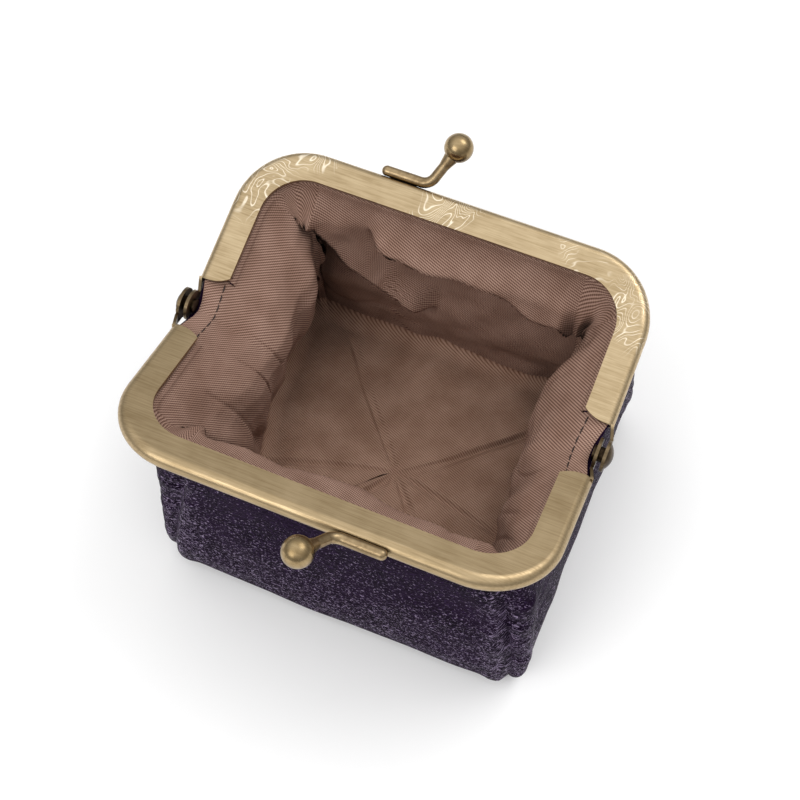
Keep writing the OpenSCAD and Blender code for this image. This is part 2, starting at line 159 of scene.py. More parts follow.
def leather_side_x(side, y, z):
    """Outer face of a gusset, as a distance to that side."""
    belly, hinge_dip, uneven, pucker = 0.5, 1.5, 0.45, 0.4
    f = (z - ROLL_R) / (under_flange(y) - ROLL_R)
    x = np.interp(f, *(GUSSET_RIGHT if side > 0 else GUSSET_LEFT))
    free = ease(1.05, 0.8, f)
    x = x + free * belly * (1 - (y / HALF_SIDE) ** 2)
    x = x - hinge_dip * bell(y, 6.0) * ease(0.45, 0.95, f) * free
    x = x + uneven * free * drift(y, z, 9.0, 3 + side)
    straight = MOUTH_V - MOUTH_R
    x = x - mouth_round(np.abs(y) / math.cos(OPEN_TILT), straight) * ease(0.7, 1, f)
    edge = corner_y(z) - np.abs(y)
    return x + pucker * free * bell(edge, 7.0) * ease(0, 1.5, edge) * ripple(edge, z, 2.0, 5)


def leather_end_y(end, x, z):
    """Outer face of the front (end -1) or rear (end 1) wall, as a distance from the middle."""
    belly, uneven, groove, turned_edge, pucker = 0.6, 0.4, 2.3, 0.5, 0.4
    f = (z - ROLL_R) / (under_flange(BAR_Y) - ROLL_R)
    y = np.interp(f, *WALL)
    y = y - mouth_round(np.abs(x), MOUTH_X - MOUTH_R) * math.cos(OPEN_TILT) * ease(0.7, 1, f)
    free = ease(1.02, 0.75, f)
    y = y + free * (belly * (1 - (x / HALF_FRONT) ** 2) + uneven * drift(x, z, 12.0, 11 + end))
    for side, _ in SIDES:
        gap = np.abs(x - seam_x(side, z))
        y = y - free * groove * bell(gap, 0.9) + free * turned_edge * bell(gap - 3.4, 2.0)
        y = y + pucker * free * ripple(gap, z, 1.7, 13 + side) * bell(gap, 5.0)
    return y


def leather_wrap(side, end, q, z, top_z):
    """Gusset from the seam (q = 0) round the corner to the side (q = 1), rounded out a little."""
    stuffed, pucker = 0.9, 0.6 if side > 0 else 0.22
    turn = q * math.pi / 2
    y0, x0 = corner_y(z), seam_x(side, z)
    x1 = side * leather_side_x(side, end * y0, z)
    y1 = leather_end_y(end, x0, z)
    high = ease(top_z - 12, top_z, z)
    across, along = round_mouth(q, x0)
    x = x0 + (x1 - x0) * ((1 - high) * np.sin(turn) ** 0.9 + high * across)
    y = y0 + (y1 - y0) * ((1 - high) * np.cos(turn) ** 0.9 + high * along)
    free = ease(top_z + 1, top_z - 9, z)
    out = np.sin(turn * 2)
    swell = free * (stuffed * out + pucker * ripple(q * 9, z, 1.7, 17 + side) * out**0.5)
    return x + side * swell * np.sin(turn), end * (y + swell * np.cos(turn))


def leather_free_edge(side, y, f, short=0.0):
    """Edge of the gusset between the arms of the frame, turned outwards over the hinge and
    tucked into the channels at its two ends; f goes from the fold (0) to the cut edge (1)."""
    away = np.abs(y)
    reach = np.interp(away, [0, 2, 4, 6, 7.2, 12], [47.0, 47.0, 47.1, 47.5, 47.8, 47.8]) - short
    inner = leather_side_x(side, y, under_flange(y))
    rise = np.interp(away, [0, 6.5, 9.0, 12], [1.2, 1.5, 1.25, 1.2])
    z = under_flange(y) + rise * (1 - (1 - f) ** 2) - 0.2 * f
    return side * (inner + (reach - inner) * f), z


def grid_faces(rows, cols):
    a = (np.arange(rows - 1)[:, None] * cols + np.arange(cols - 1)[None, :]).ravel()
    return [list(f) for f in np.stack([a, a + 1, a + cols + 1, a + cols], 1)]


def fan_grid(p0, p1, p2, n):
    """Points of a triangle in rows from p0 towards the edge p1-p2, and its faces."""
    points, faces = [], []
    for i in range(n + 1):
        for j in range(i + 1):
            a, b = i / n, j / n
            points.append(np.asarray(p0) * (1 - a) + np.asarray(p1) * (a - b) + np.asarray(p2) * b)
    row = [i * (i + 1) // 2 for i in range(n + 2)]
    for i in range(n):
        for j in range(i + 1):
            faces.append([row[i] + j, row[i + 1] + j, row[i + 1] + j + 1])
            if j < i:
                faces.append([row[i] + j, row[i + 1] + j + 1, row[i] + j + 1])
    return np.array(points), faces


def strip_between(below, above):
    """Faces between two rows of point numbers."""
    return [[below[i], below[i + 1], above[i + 1], above[i]] for i in range(len(below) - 1)]


def patch(name, node, points, chart, faces, outward, bend=None, foot=0):
    """One cut of leather or cloth: its points, where they lie on the flat cut, its faces turned
    outwards, the bend it makes with the frame, and the points at its foot."""
    points = np.asarray(points, float).reshape(-1, 3)
    a, b, c = (points[[f[k] for f in faces]] for k in (0, 1, 2))
    if np.sum(np.cross(b - a, c - a) @ np.asarray(outward, float)) < 0:
        faces = [f[::-1] for f in faces]
    return {
        "name": name, "node": node, "points": points, "faces": faces, "bend": bend,
        "chart": np.asarray(chart, float).reshape(-1, 2),
        "foot": points[:foot] if foot > 0 else points[foot:],
    }


def wall_rows(y_top, slot_depth):
    """Heights of a column of points: up the wall, then into the slot."""
    low, mid, high = ROLL_R, under_flange(y_top), in_slot(y_top, slot_depth)
    up = low + (mid - low) * np.linspace(0, 1, ROWS + 1)[:, None]
    into = mid + (high - mid) * np.linspace(0, 1, SLOT_ROWS + 1)[1:, None]
    return np.concatenate([up, into])


CHART_TOP = 60.0


def climb(surface, along, z, top):
    """Height on the flat cut, from its length down from the frame; surface gives its position."""
    levels = top + (z - top) * np.linspace(0, 1, 49).reshape((-1,) + (1,) * z.ndim)
    place = surface(along[None] + 0 * levels, levels)
    lengths = np.hypot(np.diff(levels, axis=0), np.diff(place, axis=0))
    return CHART_TOP - np.sum(lengths, 0)


# A bend turns with the frame half from 0 to 1. In each triangle of a gusset it is straight, and
# the triangles agree along their edges: O over the hinge, A where the arm starts, B and C the
# top and foot of the corner, D the foot below the hinge.
POINT_O = (0.0, under_flange(0.0))
POINT_A = (ARM_START_Y, float(under_flange(ARM_START_Y)))
POINT_B = (CORNER_TOP_Y, float(under_flange(CORNER_TOP_Y)))
POINT_C = (CORNER_LOW_Y, ROLL_R)
POINT_D = (0.0, ROLL_R)
TRIANGLES = (
    ("_hinge", (POINT_D, POINT_O, POINT_A), (0, 0, 1)),
    ("_lower", (POINT_A, POINT_D, POINT_C), (1, 0, 0)),
    ("_upper", (POINT_A, POINT_C, POINT_B), (1, 0, 1)),
)


def half_of(end):
    return "front_frame" if end < 0 else "rear_frame"


def wall_bend(end):
    return half_of(end), (0, 0, ROLL_R * MM), (0, 0, POINT_B[1] * MM)


def bend_through(end, corners, values):
    """Start and end of a bend that has the given values at three (y, z) corners."""
    rows = [[end * y, z, 1] for y, z in corners]
    gy, gz, g0 = np.linalg.solve(np.array(rows, float), np.array(values, float))
    size = gy * gy + gz * gz
    start = np.array([-g0 * gy / size, -g0 * gz / size])
    stop = start + np.array([gy, gz]) / size
    return half_of(end), (0, start[0] * MM, start[1] * MM), (0, stop[0] * MM, stop[1] * MM)


def wall_patch(cut, end, name):
    """Front or rear wall, from seam to seam and up into the channel."""
    z = wall_rows(np.full((1, PANEL_COLS + 1), BAR_Y), cut["slot"])
    left, right = cut["seam"](-1, z), cut["seam"](1, z)
    x = left + (right - left) * np.linspace(0, 1, PANEL_COLS + 1)[None, :]
    up = climb(lambda along, level: cut["end_y"](end, along, level), x, z, z[-1])
    return patch(
        name, cut["body"], np.stack([x, end * cut["end_y"](end, x, z), z], 2),
        np.stack([x, end * up], 2), grid_faces(*x.shape), (0, end * cut["facing"], 0),
        wall_bend(end), PANEL_COLS + 1)


def corner_patch(cut, end, side, name):
    """The part of a gusset that wraps from the seam round the corner."""
    q = np.linspace(0, 1, WRAP_COLS + 1)[None, :]
    y_top = CORNER_TOP_Y + (BAR_Y - CORNER_TOP_Y) * (1 - q)
    z = wall_rows(y_top, cut["slot"])
    x, y = cut["wrap"](side, end, np.broadcast_to(q, z.shape), z, under_flange(y_top))
    points = np.stack([x, y, z], 2)
    wide = np.linalg.norm(np.diff(points, axis=1), axis=2).mean(0).cumsum()
    along = CORNER_LOW_Y + wide[-1] - np.concatenate([[0], wide]) + 0 * z
    up = np.linalg.norm(np.diff(points, axis=0), axis=2).cumsum(0)
    up = CHART_TOP - up[-1] + np.concatenate([0 * up[:1], up])
    return patch(
        name, cut["sides"][side], points, np.stack([end * along, up], 2), grid_faces(*z.shape),
        (side * cut["facing"], end * cut["facing"], 0), wall_bend(end), WRAP_COLS + 1)


def into_channel(cut, side, points, charts, faces):
    """Rows added along the top edge of a triangle, up into the channel of the frame's arm."""
    below = [i * (i + 1) // 2 + i for i in range(ROWS + 1)]
    y = points[below, 1]
    for k in range(1, SLOT_ROWS + 1):
        f = k / SLOT_ROWS
        z = under_flange(y) * (1 - f) + in_slot(y, cut["slot"]) * f
        row = np.stack([side * cut["side_x"](side, y, z), y, z], 1)
        step = np.linalg.norm(row - points[below], axis=1)[:, None]
        above = list(range(len(points), len(points) + len(row)))
        points = np.concatenate([points, row])
        charts = np.concatenate([charts, charts[below] + step * [0, 1]])
        faces = faces + strip_between(below, above)
        below = above
    return points, charts, faces


def over_hinge(cut, end, side, points, charts, faces):
    """Rows added along the free edge of a triangle, turned outwards over the hinge; their last
    three points run on into the end of the channel."""
    below = list(range(len(points) - ROWS - 1, len(points)))
    y = np.concatenate([points[below, 1], end * (ARM_START_Y + np.array([0.7, 1.4, 2.1]))])
    start = charts[below + [below[-1]] * 3, 1]
    x0, z0 = cut["free_edge"](side, y, 0)
    for k in range(1, FLANGE_ROWS + 1):
        x, z = cut["free_edge"](side, y, k / FLANGE_ROWS)
        above = list(range(len(points), len(points) + len(y)))
        points = np.concatenate([points, np.stack([x, y, z], 1)])
        row = np.stack([y, start + np.hypot(x - x0, z - z0)], 1)
        charts = np.concatenate([charts, row])
        faces = faces + [
            [below[i + 1], below[i], above[i], above[i + 1]] for i in range(len(below) - 1)]
        below = above
    return points, charts, faces


def gusset_patch(cut, end, side, name, suffix, corners, values):
    """One of the three triangles of a gusset's flat part, in front of the hinge or behind it."""
    flat, faces = fan_grid(*corners, ROWS)
    y, z = end * flat[:, 0], flat[:, 1]
    points = np.stack([side * cut["side_x"](side, y, z), y, z], 1)
    up = climb(lambda along, level: cut["side_x"](side, along, level), y, z, under_flange(y))
    charts = np.stack([y, up], 1)
    if suffix == "_upper":
        points, charts, faces = into_channel(cut, side, points, charts, faces)
    if suffix == "_hinge":
        points, charts, faces = over_hinge(cut, end, side, points, charts, faces)
    return patch(
        name + suffix, cut["sides"][side], points, charts, faces, (side * cut["facing"], 0, 0),
        bend_through(end, corners, values), -ROWS - 1)


# The foot of the walls, run by run from the left seam of the front; -1 is a run taken backwards
FOOT_RUNS = (
    ("front", 1), ("right_front_corner", 1), ("right_front_lower", -1), ("right_rear_lower", 1),
    ("right_rear_corner", -1), ("rear", -1), ("left_rear_corner", 1), ("left_rear_lower", -1),
    ("left_front_lower", 1), ("left_front_corner", -1),
)


def base_patch(cut, patches):
    """Roll under the walls, then the base, from the ring of points at the foot of the walls."""
    foot = {p["name"]: p["foot"] for p in patches}
    ring_at = [foot[cut["name"] + "_" + run][::way][:-1] for run, way in FOOT_RUNS]
    loop = np.concatenate(ring_at)
    low, high = loop.min(0), loop.max(0)
    mid, half = (low + high) / 2, (high - low) / 2
    inset = 1 - cut["roll"] / half
    floor = cut["floor"]
    rows = []
    for k in range(ROLL_ROWS + 1):
        a = math.pi / 2 * k / ROLL_ROWS
        shrink = 1 - (1 - inset) * (1 - math.cos(a))
        ring = mid + (loop - mid) * shrink
        ring[:, 2] = ROLL_R - (ROLL_R - floor(ring[:, 0], ring[:, 1])) * math.sin(a)
        rows.append(ring)
    outer = rows[-1].copy()
    for k in range(1, BASE_RINGS + 1):
        ring = mid + (outer - mid) * (1 - k / BASE_RINGS)
        ring[:, 2] = floor(ring[:, 0], ring[:, 1])
        rows.append(ring)
    points = np.array(rows)
    last, n = len(points) - 2, len(loop)
    flat = np.concatenate([points[:-1].reshape(-1, 3), points[-1, :1]])
    faces = [
        [i * n + j, i * n + (j + 1) % n, (i + 1) * n + (j + 1) % n, (i + 1) * n + j]
        for i in range(last) for j in range(n)
    ]
    faces += [[last * n + j, last * n + (j + 1) % n, len(flat) - 1] for j in range(n)]
    return patch(
        cut["name"] + "_base", cut["body"], flat, flat[:, :2], faces, (0, 0, -cut["facing"]))


def weld_normals(patches):
    """Surface directions that run on smoothly from one patch to the next."""
    every = np.concatenate([p["points"] for p in patches])
    _, where = np.unique(np.round(every, 3), axis=0, return_inverse=True)
    where = where.ravel()
    total = np.zeros((where.max() + 1, 3))
    start = 0
    for p in patches:
        for size in (3, 4):
            faces = np.array([f for f in p["faces"] if len(f) == size])
            if not len(faces):
                continue
            a, b, c, d = (p["points"][faces[:, k]] for k in (0, 1, 2, -1))
            normal = np.cross(c - a, d - b) if size == 4 else np.cross(b - a, c - a)
            for k in range(size):
                np.add.at(total, where[start + faces[:, k]], normal)
        start += len(p["points"])
    total /= np.maximum(np.linalg.norm(total, axis=1, keepdims=True), 1e-9)
    start = 0
    for p in patches:
        p["normals"] = total[where[start:start + len(p["points"])]]
        start += len(p["points"])


def bag_layer(cut):
    """All patches of one layer of the bag: walls, corners, gussets and base."""
    patches = []
    for end, end_name in ENDS:
        patches.append(wall_patch(cut, end, cut["name"] + "_" + end_name))
        for side, side_name in SIDES:
            name = cut["name"] + "_" + side_name + "_" + end_name
            patches.append(corner_patch(cut, end, side, name + "_corner"))
            for triangle in TRIANGLES:
                patches.append(gusset_patch(cut, end, side, name, *triangle))
    patches.append(base_patch(cut, patches))
    weld_normals(patches)
    return patches


def rim_of(faces):
    """Edges that belong to one face only, in that face's direction."""
    edges = {}
    for f in faces:
        for a, b in zip(f, f[1:] + f[:1]):
            edges[(a, b)] = True
    return [(a, b) for a, b in edges if (b, a) not in edges]


def new_piece(name, points, faces, material, node):
    """A smooth mesh of its own that stands for a CAD node, from points in millimetres."""
    mesh = bpy.data.meshes.new(name)
    mesh.from_pydata((points * MM).tolist(), [], faces)
    mesh.shade_smooth()
    mesh.materials.append(material)
    piece = bpy.data.objects.new(name, mesh)
    bpy.context.scene.collection.objects.link(piece)
    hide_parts(node)
    return piece


def lay_chart(mesh, chart):
    """Keeps where each point lies on the flat cut, for the grain or weave to follow."""
    used = np.array([loop.vertex_index for loop in mesh.loops])
    layer = mesh.uv_layers.new(name="chart")
    layer.data.foreach_set("uv", (chart[used] * MM).astype(np.float32).ravel())
    return used


def sew(p, thick, material):
    """One closed mesh of even thickness from a patch: on the bag's body, or left in place where
    the patch has a bend.
    """
    n = len(p["points"])
    back = p["points"] - p["normals"] * thick
    faces = [list(map(int, f)) for f in p["faces"]]
    shell = faces + [[i + n for i in f[::-1]] for f in faces]
    rim = [[b, a, a + n, b + n] for a, b in rim_of(faces)]
    piece = new_piece(
        p["name"], np.concatenate([p["points"], back]), shell + rim, material, p["node"])
    mesh = piece.data
    used = lay_chart(mesh, np.concatenate([p["chart"], p["chart"]]))
    x, y, z = np.concatenate([p["points"], p["points"]]).T
    gap = np.abs(np.abs(x) - np.abs(seam_x(np.sign(x), z)))
    # Nearness to a seam: the leather finish puts more ridges there, partly a painted highlight
    crumple = mesh.attributes.new("crumple", "FLOAT", "POINT")
    near_seam = bell(gap, 5.0) * ease(28, 33, np.abs(y))
    crumple.data.foreach_set("value", near_seam.astype(np.float32))
    corner_normals = np.concatenate([p["normals"], -p["normals"]])[used]
    flat = np.zeros(3 * len(mesh.polygons))
    mesh.polygons.foreach_get("normal", flat)
    rim_normals = flat.reshape(-1, 3)[len(shell):]
    corner_normals[len(used) - 4 * len(rim):] = np.repeat(rim_normals, 4, axis=0)
    mesh.normals_split_custom_set(corner_normals.tolist())
    if p["bend"]:
        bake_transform(piece)
    else:
        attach(piece, "bag")
    return piece


def leather_floor(x, y):
    """Underside of the base, a little uneven where it stands on the table."""
    return 0.12 + 0.1 * drift(x, y, 9.0, 23) * ease(34, 24, np.maximum(np.abs(x), np.abs(y)))


leather = bag_layer({
    "name": "leather", "body": "leather_body", "sides": {-1: "left_gusset", 1: "right_gusset"},
    "end_y": leather_end_y, "side_x": leather_side_x, "wrap": leather_wrap, "seam": seam_x,
    "free_edge": leather_free_edge, "floor": leather_floor, "roll": ROLL_R,
    "slot": LEATHER_IN_SLOT, "facing": 1,
})


def linear(colour):
    """Linear red, green, blue and alpha from an sRGB hex value."""
    parts = [int(colour[i:i + 2], 16) / 255 for i in (1, 3, 5)]
    return [p / 12.92 if p <= 0.04045 else ((p + 0.055) / 1.055) ** 2.4 for p in parts] + [1.0]


def add(material, kind, settings=None, **links):
    """Adds a node with its settings. "stops" are a colour ramp's places and hex colours. A link
    names an input, or i and its number, and gives the output or the node that feeds it."""
    tree = material.node_tree
    node = tree.nodes.new("ShaderNode" + kind)
    for key, value in (settings or {}).items():
        if key == "stops":
            ramp = node.color_ramp
            while len(ramp.elements) < len(value):
                ramp.elements.new(0.5)
            for element, (position, colour) in zip(ramp.elements, value):
                element.position = position
                element.color = linear(colour)
        elif isinstance(key, int) or key in node.inputs:
            node.inputs[key].default_value = value
        else:
            setattr(node, key, value)
    for key, source in links.items():
        index = int(key[1:]) if key[1:].isdigit() else key.replace("_", " ")
        output = source if isinstance(source, bpy.types.NodeSocket) else source.outputs[0]
        tree.links.new(output, node.inputs[index])
    return node


def new_finish(name):
    material = bpy.data.materials.new(name)
    material.use_nodes = True
    material.node_tree.nodes.clear()
    return material


def cells(size):
    """Scale of a noise whose cells are this many millimetres."""
    return 1 / (size * MM)


def waves(length):
    """Scale of a wave pattern that repeats every so many millimetres."""
    return math.pi / 10 / (length * MM)


MULTIPLY = {"operation": "MULTIPLY"}
ABSOLUTE = {"operation": "ABSOLUTE"}
COLOURS = {"data_type": "RGBA"}
NUMBERS = {"data_type": "FLOAT"}
SOFT_STEP = {"interpolation_type": "SMOOTHSTEP"}
FLAT = {"noise_dimensions": "2D"}


def crackled_leather():
    """Goatskin with a metallic foil pressed on and crumpled: near-black aubergine, with short
    lavender worm-like ridges 0.3 mm across, a little coarser than the real ones so that they
    show. They catch the light. They lie closer together low down, a painted sheen, and beside
    the seams, partly for the puckers there and partly a painted highlight; in the seam grooves
    they are fewer, a painted shade."""
    m = new_finish("crackled metallic leather")
    chart = add(m, "UVMap", {"uv_map": "chart"})
    slant = add(m, "Mapping", {
        "Rotation": (0.0, 0.0, math.radians(35)), "Scale": (0.5, 1.0, 1.0)}, Vector=chart)
    worm = add(m, "TexNoise", {
        **FLAT, "Scale": cells(0.625), "Detail": 1.5, "Roughness": 0.5, "Distortion": 0.6},
        Vector=slant)
    off = add(m, "Math", {"operation": "SUBTRACT", 1: 0.5}, i0=worm)
    near = add(m, "Math", ABSOLUTE, i0=off)
    line = add(m, "MapRange", {
        **SOFT_STEP, "From Max": 0.06, "To Min": 1.0, "To Max": 0.0}, Value=near)
    place = add(m, "SeparateXYZ", i0=chart)
    patchy = add(m, "TexNoise", {**FLAT, "Scale": cells(11.11), "Detail": 3.0}, Vector=chart)
    # Painted sheen: the ridges lie closer together low down, where the wall rolls under to the
    # base
    up = add(m, "Math", ABSOLUTE, i0=place.outputs["Y"])
    high = add(m, "MapRange", {
        "From Min": 10 * MM, "From Max": 50 * MM, "To Min": 0.37, "To Max": 0.6}, Value=up)
    level = add(m, "Math", {"operation": "MULTIPLY_ADD", 1: 0.16}, i0=patchy, i2=high)
    # Partly painted highlight: more ridges beside the seams, for the puckers there and the light
    # they catch
    crumple = add(m, "Attribute", {"attribute_name": "crumple"})
    level = add(m, "Math", {"operation": "MULTIPLY_ADD", 1: -0.2},
                i0=crumple.outputs["Fac"], i2=level)
    cut_up = add(m, "TexNoise", {**FLAT, "Scale": cells(0.6667), "Detail": 1.0}, Vector=chart)
    over = add(m, "Math", {"operation": "SUBTRACT"}, i0=cut_up, i1=level)
    gate = add(m, "MapRange", {**SOFT_STEP, "From Min": -0.05, "From Max": 0.07}, Value=over)
    lit = add(m, "Math", MULTIPLY, i0=line, i1=gate)
    # Painted shade: fewer ridges and glints in the seam grooves
    groove = add(m, "AmbientOcclusion", {"Distance": 2.5 * MM, "samples": 6})
    outside_groove_shade = add(m, "MapRange", {"From Min": 0.45, "From Max": 0.85}, Value=groove.outputs["AO"])
    glint = add(m, "Math", MULTIPLY, i0=lit, i1=outside_groove_shade)
    ridge = add(m, "Math", MULTIPLY, i0=line, i1=outside_groove_shade)
    ground = add(m, "ValToRGB", {"stops": [(0.3, "#0C0212"), (0.7, "#180720")]}, i0=patchy)
    ridged = add(m, "Mix", {**COLOURS, 7: linear("#2E1D3B")}, i0=ridge, i6=ground)
    colour = add(m, "Mix", {**COLOURS, 7: linear("#9A88A8")}, i0=glint, i6=ridged.outputs[2])
    rough = add(m, "MapRange", {"To Min": 0.5, "To Max": 0.26}, Value=glint)
    metal = add(m, "Math", {**MULTIPLY, 1: 0.85}, i0=glint)
    relief = add(m, "Math", {"operation": "ADD"}, i0=glint, i1=worm)
    bump = add(m, "Bump", {"Strength": 0.9, "Distance": 0.16 * MM}, Height=relief)
    shader = add(m, "BsdfPrincipled", {"Specular IOR Level": 0.02}, Base_Color=colour.outputs[2],
                 Roughness=rough, Metallic=metal, Normal=bump)
    add(m, "OutputMaterial", Surface=shader)
    return m


leather_finish = crackled_leather()
for p in leather:
    sew(p, LEATHER_THICK, leather_finish)


# Lining bag. Thin mauve twill of the same three cuts as the leather, hung loose inside it and
# caught with it in the frame, so it billows inwards, folds over itself and creases on the floor.

LINING_THICK = 0.3
LINING_GAP = 0.3
LINING_IN_SLOT = 1.5
LINING_ROLL = 4.5
LINING_SEAM = [33.5, 33.6, 33.4, 33.0, 32.6, 32.2, 32.0, 31.8]
# How far the lining stands off the leather, by height; each side near the front and the rear
PUFF_F = [0, 0.2, 0.4, 0.55, 0.7, 0.8, 0.9, 0.97, 1]
PUFF = {
    (-1, -1): [10, 11, 11.5, 11, 9.5, 7.5, 4.5, 1.6, 0.1],
    (-1, 1): [4, 6.5, 9.5, 11.2, 12, 10.8, 7, 2.2, 0.1],
    (1, -1): [15, 15.5, 14.5, 13, 10.5, 8, 5, 1.7, 0.1],
    (1, 1): [10, 14, 16, 15.6, 13, 9.8, 5.6, 1.9, 0.1],
}
# Lines along the rear where the lining laps over itself: places across, and their heights
LAP_LEFT = ([-38, -36, -29, -24, -6], [60, 57, 43, 35, 26])
LAP_RIGHT = ([-16, -4, 13, 23, 29, 31], [51, 49, 49, 44, 45, 41])
# Tucks in the corners: place round the corner, lean, depth and width
TUCKS = {
    (-1, -1): [(0.52, -0.2, 3.4, 0.12)], (-1, 1): [(0.5, 0.1, 2.2, 0.1)],
    (1, -1): [(0.3, -0.3, 2.4, 0.07), (0.7, -0.2, 2.6, 0.08)], (1, 1): [(0.45, 0.25, 1.9, 0.12)],
}
# Creases on the floor, where the cloth was folded flat when the purse was made
CREASES = (
    ((-8, -14), (2, -1), (14, 9), (28, 22), 1.5), ((8, -8), (-4, 7), (-12, 16), (-22, 29), 1.5),
    ((-30, -10), (-14, -4), (3, 0), (30, -6), 0.8),
)


def lining_seam(side, z):
    return side * np.interp(z, SEAM_Z, LINING_SEAM)


def crease(a, b, size, seed):
    """Thin wandering fold lines: 1 on a line, 0 away from it."""
    return bell(drift(a, b, size, seed), 0.13)


def over_edge(rise):
    """The lining leans out over the top of the leather as it goes into the channel."""
    return 1.4 * ease(0.7, 2.0, rise)


def lining_side_x(side, y, z):
    """Face of a side lining that shows in the mouth, as a distance to that side."""
    fold, uneven = 0.7, 0.55
    f = np.clip((z - ROLL_R) / (under_flange(y) - ROLL_R), 0, 1.2)
    x = leather_side_x(side, y, z) - LEATHER_THICK - LINING_GAP - LINING_THICK
    rear = ease(-16, 14, y)
    puff = np.interp(f, PUFF_F, PUFF[side, -1]) * (1 - rear)
    puff = puff + np.interp(f, PUFF_F, PUFF[side, 1]) * rear
    puff = puff * (1 - 0.35 * ease(18, 33, np.abs(y)))
    free = ease(1.0, 0.8, f)
    fan = y / (0.35 + 0.65 * f)
    folds = fold * np.sin(fan * 0.34 + 1.1 * side + 0.8 * drift(y, z, 14, 31 + side))
    folds = folds + uneven * drift(fan, z * 0.5, 4.5, 33 + side)
    folds = folds - uneven * crease(fan, z * 0.35, 7, 35 + side)
    x = x - puff - free * (folds * ease(0.0, 0.25, f) + 0.6)
    return x + over_edge(z - under_flange(y))


def lap(x, z, line, tall, sharp, fade):
    """Cloth lapping over itself along a line: it stands out above the line, and dies away."""
    first, last = line[0][0], line[0][-1]
    ends = ease(first - 4, first + 2, x) * ease(last + 5, last - 1, x)
    gap = z - np.interp(x, *line)
    above = ease(-sharp, sharp, gap) * np.exp(-np.clip(gap, 0, 99) / fade)
    return ends * tall * (above - 0.45 * bell(gap + 2.4, 2.2))


def lining_end_y(end, x, z):
    """Face of the front or rear lining that shows in the mouth, from the middle."""
    f = (z - ROLL_R) / (under_flange(BAR_Y) - ROLL_R)
    y = leather_end_y(end, x, z) - LEATHER_THICK - LINING_GAP - LINING_THICK
    free = ease(1.0, 0.86, f)
    if end > 0:
        puff = 1.6 + 2.0 * bell(z - 22, 10) + lap(x, z, LAP_LEFT, 5.0, 0.8, 9)
        puff = puff + lap(x, z, LAP_RIGHT, 7.4, 0.9, 10)
    else:
        puff = 2.0 + 7.5 * bell(z - 47, 7) * (1 - 0.3 * (x / 40) ** 2) + 2.5 * bell(z - 22, 12)
    folds = 0.8 * drift(x, z * 0.4, 9, 41 + end) - 0.7 * crease(x, z * 0.5, 12, 45 + end)
    folds = 0.5 + folds * 0.6 + 0.6 * drift(x, z, 6.0, 43 + end)
    return y - free * (np.maximum(puff, 0.1) + folds) + over_edge(z - under_flange(BAR_Y))


def lining_wrap(side, end, q, z, top_z):
    """Side lining from its seam (q = 0) round the corner (q = 1), with its tucks."""
    turn = q * math.pi / 2
    y0, x0 = corner_y(z), lining_seam(side, z)
    x1 = side * lining_side_x(side, end * y0, z)
    y1 = lining_end_y(end, x0, z)
    high = ease(top_z - 10, top_z, z)
    across, along = round_mouth(q, x0)
    x = x0 + (x1 - x0) * ((1 - high) * np.sin(turn) + high * across)
    y = y0 + (y1 - y0) * ((1 - high) * np.cos(turn) + high * along)
    f = (z - ROLL_R) / (top_z - ROLL_R)
    tuck = 0 * f
    for at, lean, deep, wide in TUCKS[end, side]:
        gap = q - at - lean * (1 - f)
        beside = bell(np.abs(gap) - 2.1 * wide, 1.1 * wide)
        tuck = tuck + deep * bell(gap, wide) - 0.34 * deep * beside
    tuck = tuck * ease(0.97, 0.72, f) * (0.3 + 0.7 * ease(0.15, 0.6, f))
    tuck = tuck * ease(0, 0.12, q) * ease(1, 0.88, q)
    return x + side * tuck * np.sin(turn), end * (y + tuck * np.cos(turn))


def lining_free_edge(side, y, f):
    """The lining's own edge over the hinge, on the leather's and just short of it."""
    lift = 1.25
    short = np.interp(np.abs(y), [0, 2, 4, 6], [0.95, 0.85, 0.45, 0.25])
    x, z = leather_free_edge(side, y, f, short)
    inner = lining_side_x(side, y, under_flange(y))
    lined = leather_side_x(side, y, under_flange(y))
    x = np.abs(x) - (lined - inner) * (1 - f)
    return side * x, z + lift * (1 - (1 - f) ** 2)


def lining_floor(x, y):
    """The lining on the base, loose and creased."""
    level = 2.4 + 0.9 * drift(x, y, 11, 47)
    z = level
    for *path, deep in CREASES:
        for (x0, y0), (x1, y1) in zip(path, path[1:]):
            dx, dy = x1 - x0, y1 - y0
            t = np.clip(((x - x0) * dx + (y - y0) * dy) / (dx * dx + dy * dy), 0, 1)
            gap = np.hypot(x - x0 - t * dx, y - y0 - t * dy)
            z = np.minimum(z, level - deep * bell(gap, 1.1) + 0.6 * bell(gap - 2.4, 1.6))
    return np.maximum(z, 1.5)


lining = bag_layer({
    "name": "lining", "body": "lining_body", "sides": {-1: "left_lining", 1: "right_lining"},
    "end_y": lining_end_y, "side_x": lining_side_x, "wrap": lining_wrap, "seam": lining_seam,
    "free_edge": lining_free_edge, "floor": lining_floor, "roll": LINING_ROLL,
    "slot": LINING_IN_SLOT, "facing": -1,
})


